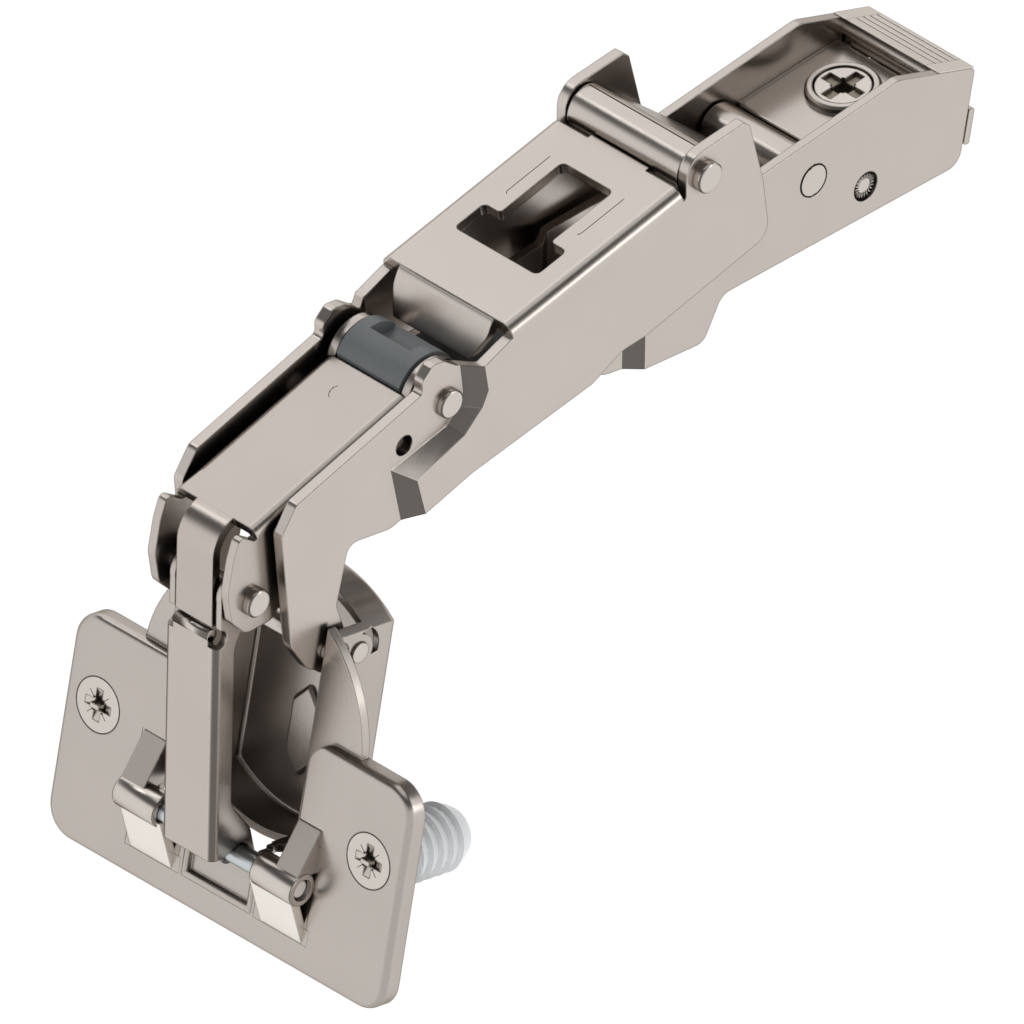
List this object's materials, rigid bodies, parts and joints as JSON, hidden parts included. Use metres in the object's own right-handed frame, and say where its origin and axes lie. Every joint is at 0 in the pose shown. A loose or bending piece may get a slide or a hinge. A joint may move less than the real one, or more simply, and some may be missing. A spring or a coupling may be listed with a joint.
{
  "type": "concealed cup hinge",
  "caption": "Wide-angle concealed cup hinge with clip-on arm, folding links, cup and screw flange, shown fully open.",
  "frame": {"origin": "centre of the flat underside of the arm's slide, on the mid-plane, where the arm sits on its mounting plate", "axes": "+X towards the arm's rear, +Z away from the cabinet side, +Y across the hinge"},
  "size_m": [0.1224, 0.056, 0.084],
  "materials": {
    "nickel_steel": "nickel-plated satin",
    "pin_steel": "nickel-plated, turned",
    "zinc_steel": "blue zinc-plated",
    "screw_steel": "nickel-plated",
    "lever_metal": "nickel-plated satin",
    "grey_plastic": "moulded grey",
    "clear_plastic": "translucent natural"
  },
  "bodies": {
    "arm": {"arm_channel": "nickel_steel", "base_slide": "nickel_steel", "latch_pin": "pin_steel", "lever_spring": "zinc_steel", "arm_pin": "pin_steel"},
    "depth_adjuster": {"depth_screw": "screw_steel"},
    "release_lever": {"clip_lever": "lever_metal"},
    "inner_link": {"inner_link": "nickel_steel"},
    "outer_channel": {"outer_channel": "nickel_steel", "ear_pin": "pin_steel", "middle_pin": "pin_steel"},
    "middle_channel": {"middle_channel": "nickel_steel", "bearing_sleeve": "grey_plastic", "nose_pin": "pin_steel", "lever_pin": "pin_steel"},
    "cup_lever": {"cup_lever": "nickel_steel"},
    "cup": {"cup_shell": "nickel_steel", "cup_pin": "zinc_steel", "pin_clip": "zinc_steel", "leg_pin": "pin_steel", "wall_rivets": "pin_steel", "flange_screws": "screw_steel", "dowels": "clear_plastic"}
  },
  "joints": [
    {"name": "fold", "type": "hinge", "parent": "arm", "child": "inner_link", "pos_m": [-0.0033, 0, 0.0092], "axis": [0, 1, 0], "range_deg": [0, 121.8]},
    {"name": "outer_fold", "type": "hinge", "parent": "inner_link", "child": "outer_channel", "pos_m": [-0.0237, 0, 0.0206], "axis": [0, 1, 0], "range_deg": [-113, 0]},
    {"name": "middle_fold", "type": "hinge", "parent": "outer_channel", "child": "middle_channel", "pos_m": [-0.0643, 0, 0.0065], "axis": [0, 1, 0], "range_deg": [0, 123]},
    {"name": "lever_fold", "type": "hinge", "parent": "middle_channel", "child": "cup_lever", "pos_m": [-0.0941, 0, -0.00885], "axis": [0, 1, 0], "range_deg": [-87, 0]},
    {"name": "cup_fold", "type": "hinge", "parent": "outer_channel", "child": "cup", "pos_m": [-0.0834, 0, -0.0197], "axis": [0, 1, 0], "range_deg": [0, 161]},
    {"name": "depth_turn", "type": "hinge", "parent": "arm", "child": "depth_adjuster", "pos_m": [0.0104, 0, 0.01125], "axis": [-0.0802, 0, 0.9968], "range_deg": [-180, 180]},
    {"name": "release_press", "type": "hinge", "parent": "arm", "child": "release_lever", "pos_m": [0.0055, 0, 0.0042], "axis": [0, -1, 0], "range_deg": [0, 6], "stiffness_Nm_per_rad": 0.8}
  ],
  "couplings": [
    {"joint": "outer_fold", "follows": "fold", "ratio": -0.90583},
    {"joint": "middle_fold", "follows": "fold", "ratio": 0.98539},
    {"joint": "lever_fold", "follows": "fold", "ratio": -0.69007},
    {"joint": "cup_fold", "follows": "fold", "ratio": 1.3016}
  ]
}
